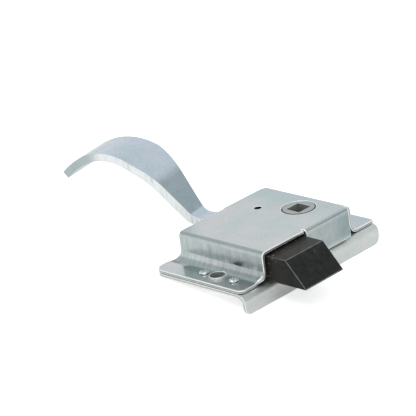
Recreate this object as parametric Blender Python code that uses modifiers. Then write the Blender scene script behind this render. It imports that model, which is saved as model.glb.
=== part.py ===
"""Slam latch: a pressed steel case with a sprung wedge bolt, a pull handle and a square hub.

Metres, +Z up. The origin is the middle of the base plate's underside, the face that lies
against the door. -Y is the way the bolt points, +Y is the way the handle is pulled.
"""
import math

import bmesh
import bpy
from mathutils import Matrix, Vector

MM = 0.001

# Clearances
SEAT = 0.3 * MM
RUNNING = 0.4 * MM
HOLE_PLAY = 0.3 * MM

# Base plate with its front lip
PLATE_THICKNESS = 1.5 * MM
PLATE_HALF_LENGTH = 43.9 * MM
PLATE_BACK_Y = 30.2 * MM
PLATE_CORNER = 3.0 * MM
PLATE_BACK_CORNER = 5.0 * MM
LIP_HALF_LENGTH = 44.7 * MM
LIP_FACE_Y = -25.6 * MM
LIP_SHOULDER = 1.2 * MM
LIP_BOTTOM_Z = -7.7 * MM
LIP_BEND = 3.5 * MM
LIP_CORNER = 4.0 * MM

# Spring stop bent up from the base plate
STOP_FACE_Y = 25.85 * MM
STOP_LEFT_X = -27.0 * MM
STOP_SIDE_GAP = 0.8 * MM
STOP_TOP_Z = 12.5 * MM
STOP_BEND = 2.2 * MM
STOP_RELIEF = 1.2 * MM

# Cover
COVER_THICKNESS = 1.5 * MM
COVER_TOP_Z = 16.7 * MM
COVER_FRONT_Y = -25.3 * MM
COVER_BACK_Y = 25.6 * MM
WALL_LEFT_X = -30.6 * MM
WALL_RIGHT_X = 28.6 * MM
WALL_BEND = 2.3 * MM
FOOT_BEND = 5.0 * MM
FLANGE_SET_BACK = 2.0 * MM
RIGHT_WALL_SET_BACK = 0.8 * MM
COVER_RIGHT_CORNER = 1.5 * MM
TAB_BEND = 1.9 * MM
TAB_FLOOR_GAP = 0.9 * MM
FRONT_TAB_FACE_Y = -25.85 * MM
FRONT_TAB_LEFT_X = -2.3 * MM
FRONT_TAB_FROM_WALL = 2.6 * MM
BACK_TAB_FROM_WALL = 3.0 * MM
BACK_TAB_STAND_OFF = 1.8 * MM
BACK_TAB_GAP = 0.8 * MM
GAUGE_HOLE_X = 7.1 * MM
GAUGE_HOLE_Y = 11.9 * MM
GAUGE_HOLE_RADIUS = 1.7 * MM

# Fixing holes with raised collars, and the rivets beside them
FIXING_FROM_END = 7.1 * MM
FIXING_Y = -2.4 * MM
FIXING_RADIUS = 2.9 * MM
FIXING_COLLAR = 3.5 * MM
FIXING_COLLAR_STANDS = 1.0 * MM
RIVET_MIDDLE_Y = -3.3 * MM
RIVET_PITCH = 9.0 * MM
RIVET_SHANK = 1.5 * MM
RIVET_HEAD = 2.2 * MM
RIVET_HEAD_HEIGHT = 0.8 * MM

# Latch bolt
BOLT_LEFT_GAP = 2.0 * MM
BOLT_RIGHT_GAP = 0.3 * MM
BOLT_HEADROOM = 1.3 * MM
BOLT_TIP_Y = -45.7 * MM
BOLT_RIDGE_Y = -35.5 * MM
BOLT_REAR_Y = 4.5 * MM
BOLT_TIP_LAND = 0.5 * MM
BOLT_EDGE = 0.35 * MM
BOLT_TRAVEL = 17.5 * MM
WING_RIGHT_X = 6.3 * MM

# Pull handle
HANDLE_THICKNESS = 3.8 * MM
HANDLE_HEADROOM = 0.7 * MM
SHANK_X = -5.4 * MM
SHANK_WIDTH = 8.6 * MM
SHANK_FRONT_Y = -19.0 * MM
HANDLE_ELBOW_Y = 27.4 * MM
HANDLE_SKEW = math.radians(12.0)
HANDLE_FLAT = 4.6 * MM
RISE_BEND = 6.6 * MM
RISE_ANGLE = math.radians(51.6)
RISE_LENGTH = 16.5 * MM
SHOULDER_RADIUS = 40.0 * MM
SHOULDER_END = math.radians(20.8)
CROWN_RADIUS = 31.4 * MM
CROWN_END = math.radians(-27.5)
TAIL_RADIUS = 48.8 * MM
TAIL_END = math.radians(-44.6)
GRIP_WIDTH = 24.6 * MM
GRIP_START = 34.0 * MM
TIP_WIDTH = 19.0 * MM
TIP_CORNER = 1.0 * MM
HANDLE_EDGE = 0.4 * MM

# Rivets that hold the handle on the bolt
HANDLE_RIVET_X = -6.0 * MM
HANDLE_RIVET_FRONT_Y = -14.0 * MM
HANDLE_RIVET_REAR_Y = 0.0 * MM
HANDLE_RIVET_SHANK = 1.8 * MM
HANDLE_RIVET_HEAD = 3.0 * MM
HANDLE_RIVET_HEAD_HEIGHT = 1.4 * MM
HANDLE_RIVET_FOOT = 2.7 * MM
HANDLE_RIVET_FOOT_HEIGHT = 1.2 * MM

# Springs and their guide pins
SPRING_LEFT_X = -21.6 * MM
SPRING_RIGHT_X = -13.4 * MM
SPRING_Z = 6.9 * MM
SPRING_RADIUS = 3.2 * MM
SPRING_WIRE = 0.45 * MM
SPRING_COILS = 12
SPRING_BORE_END_Y = -20.0 * MM
GUIDE_RADIUS = 1.8 * MM
GUIDE_FRONT_Y = 0.0 * MM
GUIDE_STUD = 1.2 * MM
GUIDE_HEAD_HEIGHT = 0.5 * MM

# Hub and its arm
HUB_X = 15.7 * MM
HUB_Y = -5.2 * MM
HUB_BOSS = 7.5 * MM
HUB_COLLAR = 8.4 * MM
HUB_JOURNAL = 6.6 * MM
HUB_FLAT = 5.9 * MM
HUB_BOTTOM_Z = 0.3 * MM
SQUARE_HALF = 4.0 * MM
ARM_THICKNESS = 2.0 * MM
ARM_RADIUS = 13.5 * MM
ARM_END = 3.8 * MM
ARM_HUB_END = 9.4 * MM
ARM_PIN = 2.2 * MM
ARM_PIN_STUD = 1.3 * MM
ARM_PIN_TOP_GAP = 0.6 * MM
ARC_ERROR = 0.3 * MM
WASHER_THICKNESS = 0.5 * MM
WASHER_RADIUS = 9.4 * MM

# Heights and faces that follow from the stack
FLANGE_BOTTOM_Z = PLATE_THICKNESS + SEAT
FLANGE_TOP_Z = FLANGE_BOTTOM_Z + COVER_THICKNESS
FLANGE_FRONT_Y = COVER_FRONT_Y + FLANGE_SET_BACK
FIXING_X = PLATE_HALF_LENGTH - FIXING_FROM_END
COVER_INSIDE_Z = COVER_TOP_Z - COVER_THICKNESS
BOLT_BOTTOM_Z = PLATE_THICKNESS + RUNNING
BOLT_TOP_Z = COVER_INSIDE_Z - BOLT_HEADROOM
BOLT_LEFT_X = WALL_LEFT_X + COVER_THICKNESS + BOLT_LEFT_GAP
BOLT_RIGHT_X = FRONT_TAB_LEFT_X - BOLT_RIGHT_GAP
HANDLE_TOP_Z = COVER_INSIDE_Z - HANDLE_HEADROOM
FRONT_TAB_RIGHT_X = WALL_RIGHT_X - FRONT_TAB_FROM_WALL
BACK_TAB_RIGHT_X = WALL_RIGHT_X - BACK_TAB_FROM_WALL
BACK_TAB_FACE_Y = COVER_BACK_Y + BACK_TAB_STAND_OFF
RIGHT_WALL_FRONT_Y = COVER_FRONT_Y + RIGHT_WALL_SET_BACK
STOP_RIGHT_X = SHANK_X - SHANK_WIDTH / 2 - STOP_SIDE_GAP
TAB_BOTTOM_Z = PLATE_THICKNESS + TAB_FLOOR_GAP
WASHER_BOTTOM_Z = PLATE_THICKNESS + SEAT
ARM_BOTTOM_Z = WASHER_BOTTOM_Z + WASHER_THICKNESS + SEAT
ARM_TOP_Z = ARM_BOTTOM_Z + ARM_THICKNESS
COLLAR_BOTTOM_Z = ARM_TOP_Z + SEAT
WING_BOTTOM_Z = ARM_TOP_Z + RUNNING
HANDLE_BOTTOM_Z = HANDLE_TOP_Z - HANDLE_THICKNESS
CHANNEL_FLOOR_Z = HANDLE_BOTTOM_Z - SEAT
STOP_INSIDE_Y = STOP_FACE_Y - PLATE_THICKNESS

# The arm swings the same angle either side of the line across the case
ARM_SWING = math.asin(BOLT_TRAVEL / 2 / ARM_RADIUS)
ARM_PIN_X = HUB_X - ARM_RADIUS * math.cos(ARM_SWING)
ARM_PIN_Y = HUB_Y - ARM_RADIUS * math.sin(ARM_SWING)
WING_SHOULDER_Y = FRONT_TAB_FACE_Y + COVER_THICKNESS + SEAT

ROUND_STEPS = 40
BEND_STEPS = 6
PLANE_XY = Matrix.Identity(3)
PLANE_XZ = Matrix(((1, 0, 0), (0, 0, -1), (0, 1, 0)))
PLANE_YZ = Matrix(((0, 0, 1), (1, 0, 0), (0, 1, 0)))


def start_scene():
    """Remove what the scene holds and make the two collections."""
    for old in list(bpy.data.objects):
        bpy.data.objects.remove(old, do_unlink=True)
    groups = []
    for name in ("slam_latch", "cutters"):
        group = bpy.data.collections.new(name)
        bpy.context.scene.collection.children.link(group)
        groups.append(group)
    return groups


def make_material(name, colour, roughness, metallic):
    material = bpy.data.materials.new(name)
    material.use_nodes = True
    shader = material.node_tree.nodes["Principled BSDF"]
    shader.inputs["Base Color"].default_value = (*colour, 1.0)
    shader.inputs["Roughness"].default_value = roughness
    shader.inputs["Metallic"].default_value = metallic
    material.diffuse_color = (*colour, 1.0)
    return material


def fillet(corners, closed=True):
    """Round each corner (u, v, radius) of an outline and return its points."""
    points = []
    count = len(corners)
    for index, (u, v, radius) in enumerate(corners):
        at_end = not closed and index in (0, count - 1)
        if radius <= 0 or at_end:
            points.append((u, v))
            continue
        here = Vector((u, v))
        before = (Vector(corners[index - 1][:2]) - here).normalized()
        after = (Vector(corners[(index + 1) % count][:2]) - here).normalized()
        half = math.acos(max(-1.0, min(1.0, before.dot(after)))) / 2
        reach = radius / math.tan(half)
        centre = here + (before + after).normalized() * (radius / math.sin(half))
        first = here + before * reach - centre
        turn = math.pi - 2 * half
        side = 1 if before.cross(after) < 0 else -1
        for step in range(BEND_STEPS + 1):
            spin = side * turn * step / BEND_STEPS
            arm = Matrix.Rotation(spin, 2) @ first
            points.append(tuple(centre + arm))
    return points


def sheet_outline(path, thickness):
    """Closed section of a folded sheet.

    path holds (u, v, outer_radius) along the face on the left hand of the way it runs, and
    the sheet lies on the right hand. A bend keeps one centre for both faces.
    """
    corners = [Vector(point[:2]) for point in path]
    face = []
    back = []
    for index, (u, v, radius) in enumerate(path):
        ahead = corners[min(index + 1, len(path) - 1)] - corners[min(index, len(path) - 2)]
        behind = corners[max(index, 1)] - corners[max(index - 1, 0)]
        ahead.normalize()
        behind.normalize()
        right = Vector((behind.y, -behind.x)) + Vector((ahead.y, -ahead.x))
        mitre = right.normalized()
        reach = thickness / mitre.dot(Vector((ahead.y, -ahead.x)))
        turns_right = behind.cross(ahead) < 0
        outer, inner = (radius, radius - thickness)
        face.append((u, v, outer if turns_right else inner))
        inside = Vector((u, v)) + mitre * reach
        back.append((inside.x, inside.y, inner if turns_right else outer))
    return fillet(face, closed=False) + fillet(back, closed=False)[::-1]


def mesh_object(name, mesh, group):
    part = bpy.data.objects.new(name, mesh)
    group.objects.link(part)
    return part


def prism(name, outline, low, high, plane, group, origin=(0.0, 0.0, 0.0)):
    """A flat outline drawn in a plane, filled and extruded from low to high."""
    curve = bpy.data.curves.new(name, "CURVE")
    curve.dimensions = "2D"
    curve.fill_mode = "BOTH"
    curve.extrude = (high - low) / 2
    spline = curve.splines.new("POLY")
    spline.points.add(len(outline) - 1)
    for point, (u, v) in zip(spline.points, outline):
        point.co = (u, v, 0.0, 1.0)
    spline.use_cyclic_u = True
    drawn = mesh_object(name + "_outline", curve, group)
    bpy.context.view_layer.update()
    mesh = bpy.data.meshes.new_from_object(drawn.evaluated_get(bpy.context.evaluated_depsgraph_get()))
    bpy.data.objects.remove(drawn)
    rise = Vector((0.0, 0.0, (high + low) / 2))
    shape = bmesh.new()
    shape.from_mesh(mesh)
    bmesh.ops.remove_doubles(shape, verts=shape.verts, dist=1e-7)
    bmesh.ops.transform(shape, matrix=plane.to_4x4() @ Matrix.Translation(rise), verts=shape.verts)
    bmesh.ops.recalc_face_normals(shape, faces=shape.faces)
    shape.to_mesh(mesh)
    shape.free()
    mesh.name = name
    part = mesh_object(name, mesh, group)
    part.location = origin
    return part


def turned(name, profile, group, location, axis="Z", steps=ROUND_STEPS):
    """A round piece: (radius, height) points down its outer side, from the axis to the axis."""
    mesh = bpy.data.meshes.new(name)
    verts = [(radius, 0.0, height) for radius, height in profile]
    edges = [(index, index + 1) for index in range(len(verts) - 1)]
    mesh.from_pydata(verts, edges, [])
    part = mesh_object(name, mesh, group)
    part.location = location
    if axis == "Y":
        part.rotation_euler = (math.radians(-90), 0.0, 0.0)
    screw = part.modifiers.new("turn", "SCREW")
    screw.steps = steps
    screw.render_steps = steps
    screw.use_merge_vertices = True
    screw.merge_threshold = 0.000001
    screw.use_smooth_shade = True
    screw.use_normal_calculate = False
    return part


def cylinder(name, radius, low, high, group, location, axis="Z", steps=ROUND_STEPS):
    profile = [(0.0, high), (radius, high), (radius, low), (0.0, low)]
    return turned(name, profile, group, location, axis, steps)


def combine(part, other, operation):
    """Boolean with a helper, which is then hidden."""
    modifier = part.modifiers.new(other.name, "BOOLEAN")
    modifier.operation = operation
    modifier.solver = "EXACT"
    modifier.object = other
    other.hide_render = True
    other.display_type = "WIRE"


def soften(part, width, segments=1):
    """Break the sharp edges of a piece."""
    bevel = part.modifiers.new("edges", "BEVEL")
    bevel.width = width
    bevel.segments = segments
    bevel.limit_method = "ANGLE"
    bevel.angle_limit = math.radians(40)
    bevel.use_clamp_overlap = True


def rectangle(u0, v0, u1, v1, radius=0.0):
    return fillet([(u0, v0, radius), (u1, v0, radius), (u1, v1, radius), (u0, v1, radius)])


def arc_points(centre, radius, start, end, steps):
    """Points on an arc, with angles in radians."""
    return [(centre[0] + radius * math.cos(start + (end - start) * step / steps),
             centre[1] + radius * math.sin(start + (end - start) * step / steps))
            for step in range(steps + 1)]


def make_base_plate(group, cutters):
    """Flat plate with a full-length lip bent down at the front and a spring stop bent up."""
    section = sheet_outline([(LIP_FACE_Y, LIP_BOTTOM_Z, 0.0),
                             (LIP_FACE_Y, PLATE_THICKNESS, LIP_BEND),
                             (PLATE_BACK_Y, PLATE_THICKNESS, 0.0)], PLATE_THICKNESS)
    plate = prism("base_plate", section, -LIP_HALF_LENGTH, LIP_HALF_LENGTH, PLANE_YZ, group)

    reach = 2 * LIP_BEND
    lip_root = LIP_FACE_Y + LIP_BEND
    right_side = [(LIP_HALF_LENGTH, LIP_FACE_Y - reach, 0.0), (LIP_HALF_LENGTH, lip_root, LIP_SHOULDER),
                  (PLATE_HALF_LENGTH, lip_root + LIP_SHOULDER, LIP_SHOULDER),
                  (PLATE_HALF_LENGTH, PLATE_BACK_Y, PLATE_BACK_CORNER)]
    left_side = [(-x, y, radius) for x, y, radius in right_side[::-1]]
    plan = fillet(right_side + left_side)
    keep_plan = prism("plate_plan", plan, LIP_BOTTOM_Z - reach, PLATE_THICKNESS + reach, PLANE_XY, cutters)
    combine(plate, keep_plan, "INTERSECT")
    front = rectangle(-LIP_HALF_LENGTH, LIP_BOTTOM_Z, LIP_HALF_LENGTH, COVER_TOP_Z, LIP_CORNER)
    keep_front = prism("plate_front", front, -PLATE_BACK_Y - reach, -LIP_FACE_Y + reach, PLANE_XZ, cutters)
    combine(plate, keep_front, "INTERSECT")

    relief = rectangle(STOP_LEFT_X - STOP_RELIEF, STOP_FACE_Y - STOP_BEND,
                       STOP_RIGHT_X + STOP_RELIEF, PLATE_BACK_Y + reach)
    clear = prism("stop_relief", relief, -reach, reach, PLANE_XY, cutters)
    combine(plate, clear, "DIFFERENCE")
    root_y = STOP_FACE_Y - STOP_BEND - 2 * PLATE_THICKNESS
    stop_section = sheet_outline([(STOP_FACE_Y, STOP_TOP_Z, 0.0), (STOP_FACE_Y, 0.0, STOP_BEND),
                                  (root_y, 0.0, 0.0)], PLATE_THICKNESS)
    stop = prism("spring_stop", stop_section, STOP_LEFT_X, STOP_RIGHT_X, PLANE_YZ, cutters)
    combine(plate, stop, "UNION")

    collar_top = FLANGE_TOP_Z + FIXING_COLLAR_STANDS
    rim = (FIXING_COLLAR - FIXING_RADIUS) / 3
    for side in (-1, 1):
        profile = [(0.0, collar_top), (FIXING_COLLAR - rim, collar_top), (FIXING_COLLAR, collar_top - rim),
                   (FIXING_COLLAR, PLATE_THICKNESS / 2), (0.0, PLATE_THICKNESS / 2)]
        collar = turned("plate_collar", profile, cutters, (side * FIXING_X, FIXING_Y, 0.0), steps=32)
        combine(plate, collar, "UNION")
        hole = cylinder("plate_fixing_hole", FIXING_RADIUS, -reach, reach, cutters,
                        (side * FIXING_X, FIXING_Y, 0.0), steps=32)
        combine(plate, hole, "DIFFERENCE")
        for way in (-1, 1):
            pierced = cylinder("plate_rivet_hole", RIVET_SHANK + HOLE_PLAY, -reach, reach, cutters,
                               (side * FIXING_X, RIVET_MIDDLE_Y + way * RIVET_PITCH, 0.0), steps=20)
            combine(plate, pierced, "DIFFERENCE")
    hub_hole = cylinder("plate_hub_hole", HUB_JOURNAL + HOLE_PLAY, -reach, reach, cutters,
                        (HUB_X, HUB_Y, 0.0))
    combine(plate, hub_hole, "DIFFERENCE")
    for stud_x in (SPRING_LEFT_X, SPRING_RIGHT_X):
        stud_hole = cylinder("stop_stud_hole", GUIDE_STUD + HOLE_PLAY, -reach, reach, cutters,
                             (stud_x, STOP_FACE_Y, SPRING_Z), axis="Y", steps=20)
        combine(plate, stud_hole, "DIFFERENCE")
    return plate


def add_tab(cover, cutters, name, face_y, left_x, right_x):
    """A tab bent down from the cover's top at face_y, which is its outer face."""
    toward = -1 if face_y < 0 else 1
    reach = 4 * COVER_THICKNESS
    edge_y = COVER_FRONT_Y if toward < 0 else COVER_BACK_Y
    inner_y = min(toward * edge_y, toward * face_y - TAB_BEND) * toward
    trim_low, trim_high = sorted((inner_y, toward * (abs(edge_y) + reach)))
    trim = prism(name + "_trim", rectangle(left_x, trim_low, right_x, trim_high),
                 COVER_INSIDE_Z - reach, COVER_TOP_Z + reach, PLANE_XY, cutters)
    combine(cover, trim, "DIFFERENCE")
    path = [(face_y, TAB_BOTTOM_Z, 0.0), (face_y, COVER_TOP_Z, TAB_BEND),
            (inner_y - toward * 2 * COVER_THICKNESS, COVER_TOP_Z, 0.0)]
    if toward > 0:
        path.reverse()
    section = sheet_outline(path, COVER_THICKNESS)
    tab = prism(name, section, left_x, right_x, PLANE_YZ, cutters)
    combine(cover, tab, "UNION")


def make_cover(group, cutters):
    """Pressed steel cover: a hat section with flanges, a tab at the front and one at the back."""
    reach = 4 * COVER_THICKNESS
    section = sheet_outline([(-PLATE_HALF_LENGTH - reach, FLANGE_TOP_Z, 0.0),
                             (WALL_LEFT_X, FLANGE_TOP_Z, FOOT_BEND + COVER_THICKNESS),
                             (WALL_LEFT_X, COVER_TOP_Z, WALL_BEND),
                             (WALL_RIGHT_X, COVER_TOP_Z, WALL_BEND),
                             (WALL_RIGHT_X, FLANGE_TOP_Z, FOOT_BEND + COVER_THICKNESS),
                             (PLATE_HALF_LENGTH + reach, FLANGE_TOP_Z, 0.0)], COVER_THICKNESS)
    cover = prism("cover", section, -PLATE_BACK_Y - reach, reach - COVER_FRONT_Y, PLANE_XZ, group)

    left_x = WALL_LEFT_X + COVER_THICKNESS / 2
    right_x = WALL_RIGHT_X - COVER_THICKNESS / 2
    plan = fillet([(-PLATE_HALF_LENGTH, FLANGE_FRONT_Y, PLATE_CORNER),
                   (left_x - FLANGE_SET_BACK, FLANGE_FRONT_Y, 0.0), (left_x, COVER_FRONT_Y, 0.0),
                   (right_x, COVER_FRONT_Y, 0.0), (right_x + FLANGE_SET_BACK, FLANGE_FRONT_Y, 0.0),
                   (LIP_HALF_LENGTH, FLANGE_FRONT_Y, COVER_RIGHT_CORNER),
                   (LIP_HALF_LENGTH, PLATE_BACK_Y, PLATE_BACK_CORNER),
                   (-PLATE_HALF_LENGTH, PLATE_BACK_Y, PLATE_BACK_CORNER)])
    keep_plan = prism("cover_plan", plan, FLANGE_BOTTOM_Z - reach, COVER_TOP_Z + reach, PLANE_XY, cutters)
    combine(cover, keep_plan, "INTERSECT")

    flare = PLATE_BACK_Y + reach - COVER_BACK_Y
    back_step = [(left_x, COVER_BACK_Y), (right_x, COVER_BACK_Y),
                 (right_x + flare, COVER_BACK_Y + flare), (left_x - flare, COVER_BACK_Y + flare)]
    clear_back = prism("cover_back_step", back_step, -reach, COVER_TOP_Z + reach, PLANE_XY, cutters)
    combine(cover, clear_back, "DIFFERENCE")
    front_step = rectangle(FRONT_TAB_RIGHT_X, COVER_FRONT_Y - reach,
                           WALL_RIGHT_X + FLANGE_SET_BACK, RIGHT_WALL_FRONT_Y)
    clear_front = prism("cover_front_step", front_step, -reach, COVER_TOP_Z + reach, PLANE_XY, cutters)
    combine(cover, clear_front, "DIFFERENCE")

    hub_hole = cylinder("cover_hub_hole", HUB_BOSS + HOLE_PLAY, -reach, reach, cutters,
                        (HUB_X, HUB_Y, COVER_TOP_Z))
    combine(cover, hub_hole, "DIFFERENCE")
    gauge_hole = cylinder("cover_gauge_hole", GAUGE_HOLE_RADIUS, -reach, reach, cutters,
                          (GAUGE_HOLE_X, GAUGE_HOLE_Y, COVER_TOP_Z), steps=20)
    combine(cover, gauge_hole, "DIFFERENCE")
    for side in (-1, 1):
        hole = cylinder("cover_fixing_hole", FIXING_COLLAR + SEAT, -reach, reach, cutters,
                        (side * FIXING_X, FIXING_Y, FLANGE_TOP_Z), steps=32)
        combine(cover, hole, "DIFFERENCE")
        for way in (-1, 1):
            pierced = cylinder("cover_rivet_hole", RIVET_SHANK + HOLE_PLAY, -reach, reach, cutters,
                               (side * FIXING_X, RIVET_MIDDLE_Y + way * RIVET_PITCH, FLANGE_TOP_Z),
                               steps=20)
            combine(cover, pierced, "DIFFERENCE")

    add_tab(cover, cutters, "front_tab", FRONT_TAB_FACE_Y, FRONT_TAB_LEFT_X, FRONT_TAB_RIGHT_X)
    back_tab_left = SHANK_X + SHANK_WIDTH / 2 + BACK_TAB_GAP
    add_tab(cover, cutters, "back_tab", BACK_TAB_FACE_Y, back_tab_left, BACK_TAB_RIGHT_X)
    return cover


def make_cover_rivet(name, group, x, y):
    """Rivet with a low peened head on the flange and a flush foot in the base plate."""
    head_bottom = FLANGE_TOP_Z + SEAT
    dome = head_bottom + RIVET_HEAD_HEIGHT
    profile = [(0.0, dome), (RIVET_HEAD * 0.5, dome), (RIVET_HEAD * 0.85, dome - 0.25 * RIVET_HEAD_HEIGHT),
               (RIVET_HEAD, dome - 0.6 * RIVET_HEAD_HEIGHT), (RIVET_HEAD, head_bottom),
               (RIVET_SHANK, head_bottom), (RIVET_SHANK, 0.0), (0.0, 0.0)]
    return turned(name, profile, group, (x, y, 0.0), steps=24)


def make_latch_bolt(group, cutters):
    """Moulded wedge bolt with a wing on its right for the arm's pin and two spring bores."""
    side_view = [(BOLT_TIP_Y, BOLT_BOTTOM_Z), (BOLT_REAR_Y, BOLT_BOTTOM_Z), (BOLT_REAR_Y, BOLT_TOP_Z),
                 (BOLT_RIDGE_Y, BOLT_TOP_Z), (BOLT_TIP_Y, BOLT_BOTTOM_Z + BOLT_TIP_LAND)]
    bolt = prism("latch_bolt", side_view, BOLT_LEFT_X, BOLT_RIGHT_X, PLANE_YZ, group)
    soften(bolt, BOLT_EDGE)

    reach = BOLT_TOP_Z
    for bore_x in (SPRING_LEFT_X, SPRING_RIGHT_X):
        bore = cylinder("spring_bore", SPRING_RADIUS + HOLE_PLAY, SPRING_BORE_END_Y, BOLT_REAR_Y + reach,
                        cutters, (bore_x, 0.0, SPRING_Z), axis="Y", steps=24)
        combine(bolt, bore, "DIFFERENCE")
    for rivet_y in (HANDLE_RIVET_FRONT_Y, HANDLE_RIVET_REAR_Y):
        foot_top = BOLT_BOTTOM_Z + SEAT + HANDLE_RIVET_FOOT_HEIGHT + SEAT
        profile = [(0.0, reach), (HANDLE_RIVET_SHANK + HOLE_PLAY, reach),
                   (HANDLE_RIVET_SHANK + HOLE_PLAY, foot_top), (HANDLE_RIVET_FOOT + HOLE_PLAY, foot_top),
                   (HANDLE_RIVET_FOOT + HOLE_PLAY, 0.0), (0.0, 0.0)]
        hole = turned("bolt_rivet_hole", profile, cutters, (HANDLE_RIVET_X, rivet_y, 0.0), steps=24)
        combine(bolt, hole, "DIFFERENCE")

    overlap = SEAT
    wing_plan = rectangle(BOLT_RIGHT_X - overlap, WING_SHOULDER_Y, WING_RIGHT_X, BOLT_REAR_Y - 2 * BOLT_EDGE)
    wing = prism("bolt_wing", wing_plan, WING_BOTTOM_Z, BOLT_TOP_Z - 2 * BOLT_EDGE, PLANE_XY, cutters)
    combine(bolt, wing, "UNION")

    channel_plan = rectangle(SHANK_X - SHANK_WIDTH / 2 - RUNNING, SHANK_FRONT_Y - RUNNING,
                             BOLT_RIGHT_X + reach, BOLT_REAR_Y + reach)
    channel = prism("bolt_channel", channel_plan, CHANNEL_FLOOR_Z, BOLT_TOP_Z + reach, PLANE_XY, cutters)
    combine(bolt, channel, "DIFFERENCE")

    slot_half = ARM_PIN + HOLE_PLAY + ARC_ERROR
    slot_end_x = HUB_X - ARM_RADIUS - ARM_PIN - RUNNING
    slot_plan = rectangle(slot_end_x, ARM_PIN_Y - slot_half, WING_RIGHT_X + reach, ARM_PIN_Y + slot_half)
    slot = prism("bolt_slot", slot_plan, 0.0, CHANNEL_FLOOR_Z + reach, PLANE_XY, cutters)
    combine(bolt, slot, "DIFFERENCE")
    return bolt


def handle_path():
    """(along, height, slope) points on the handle's top face, seen from the side."""
    path = [(SHANK_FRONT_Y - HANDLE_ELBOW_Y - SHANK_WIDTH, HANDLE_TOP_Z, 0.0),
            (HANDLE_FLAT, HANDLE_TOP_Z, 0.0)]
    bends = [(RISE_BEND, RISE_ANGLE, RISE_LENGTH), (-SHOULDER_RADIUS, SHOULDER_END, 0.0),
             (-CROWN_RADIUS, CROWN_END, 0.0), (-TAIL_RADIUS, TAIL_END, 0.0)]
    for radius, end, straight in bends:
        along, height, slope = path[-1]
        steps = max(4, round(abs(end - slope) / math.radians(5)))
        for step in range(1, steps + 1):
            now = slope + (end - slope) * step / steps
            path.append((along - radius * (math.sin(slope) - math.sin(now)),
                         height + radius * (math.cos(slope) - math.cos(now)), now))
        if straight:
            along, height, slope = path[-1]
            path.append((along + straight * math.cos(slope), height + straight * math.sin(slope), slope))
    return path


def handle_half_width(along, end):
    """Half of the handle's width: a narrow neck, a flare to the grip, a slow taper to the tip."""
    flare = max(0.0, min(1.0, (along - HANDLE_FLAT) / (GRIP_START - HANDLE_FLAT)))
    eased = 0.65 * flare + 0.35 * flare * flare * (3 - 2 * flare)
    taper = max(0.0, (along - GRIP_START) / (end - GRIP_START))
    width = SHANK_WIDTH + (GRIP_WIDTH - SHANK_WIDTH) * eased + (TIP_WIDTH - GRIP_WIDTH) * taper
    return width / 2


def make_pull_handle(group, cutters):
    """Steel strip: its side view extruded across, trimmed by its outline in plan."""
    path = handle_path()
    under = [(along + HANDLE_THICKNESS * math.sin(slope), height - HANDLE_THICKNESS * math.cos(slope))
             for along, height, slope in path]
    side_view = [(along, height) for along, height, _ in path] + under[::-1]
    way = Vector((-math.sin(HANDLE_SKEW), math.cos(HANDLE_SKEW), 0.0))
    across = Vector((math.cos(HANDLE_SKEW), math.sin(HANDLE_SKEW), 0.0))
    plane = Matrix((way, (0.0, 0.0, 1.0), across)).transposed()
    elbow = Vector((SHANK_X, HANDLE_ELBOW_Y, 0.0))
    handle = prism("pull_handle", side_view, -2 * GRIP_WIDTH, 2 * GRIP_WIDTH, plane, group, elbow)

    end = max(under[-1][0], path[-1][0])
    stations = [HANDLE_FLAT + (end - HANDLE_FLAT) * step / 20 for step in range(21)]
    left = []
    right = []
    for along in stations[:-1]:
        half = handle_half_width(along, end)
        left.append(elbow + way * along - across * half)
        right.append(elbow + way * along + across * half)
    tip_half = handle_half_width(end, end)
    tip = elbow + way * (end + HANDLE_THICKNESS)
    shank_left = SHANK_X - SHANK_WIDTH / 2
    shank_right = SHANK_X + SHANK_WIDTH / 2
    outline = [(shank_right, SHANK_FRONT_Y, HANDLE_EDGE), (shank_right, HANDLE_ELBOW_Y, 0.0)]
    outline += [(point.x, point.y, 0.0) for point in right]
    outline += [(*(tip + side * across * tip_half).xy, TIP_CORNER) for side in (1, -1)]
    outline += [(point.x, point.y, 0.0) for point in left[::-1]]
    outline += [(shank_left, HANDLE_ELBOW_Y, 0.0), (shank_left, SHANK_FRONT_Y, HANDLE_EDGE)]
    plan = prism("handle_plan", fillet(outline), 0.0, 4 * CROWN_RADIUS, PLANE_XY, cutters)
    combine(handle, plan, "INTERSECT")

    for rivet_y in (HANDLE_RIVET_FRONT_Y, HANDLE_RIVET_REAR_Y):
        sink = HANDLE_RIVET_HEAD + HOLE_PLAY
        hole_radius = HANDLE_RIVET_SHANK + HOLE_PLAY
        head_bottom = HANDLE_TOP_Z - HANDLE_RIVET_HEAD_HEIGHT
        profile = [(0.0, HANDLE_TOP_Z + sink), (sink, HANDLE_TOP_Z + sink), (sink, HANDLE_TOP_Z),
                   (hole_radius, head_bottom), (hole_radius, 0.0), (0.0, 0.0)]
        hole = turned("handle_rivet_hole", profile, cutters, (HANDLE_RIVET_X, rivet_y, 0.0), steps=24)
        combine(handle, hole, "DIFFERENCE")
    return handle


def make_handle_rivet(name, group, y):
    """Countersunk rivet down through the handle, with its foot let into the bolt."""
    head_bottom = HANDLE_TOP_Z - HANDLE_RIVET_HEAD_HEIGHT
    foot_bottom = BOLT_BOTTOM_Z + SEAT
    foot_top = foot_bottom + HANDLE_RIVET_FOOT_HEIGHT
    profile = [(0.0, HANDLE_TOP_Z), (HANDLE_RIVET_HEAD, HANDLE_TOP_Z), (HANDLE_RIVET_SHANK, head_bottom),
               (HANDLE_RIVET_SHANK, foot_top), (HANDLE_RIVET_FOOT, foot_top),
               (HANDLE_RIVET_FOOT, foot_bottom), (0.0, foot_bottom)]
    return turned(name, profile, group, (HANDLE_RIVET_X, y, 0.0), steps=24)


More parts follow.
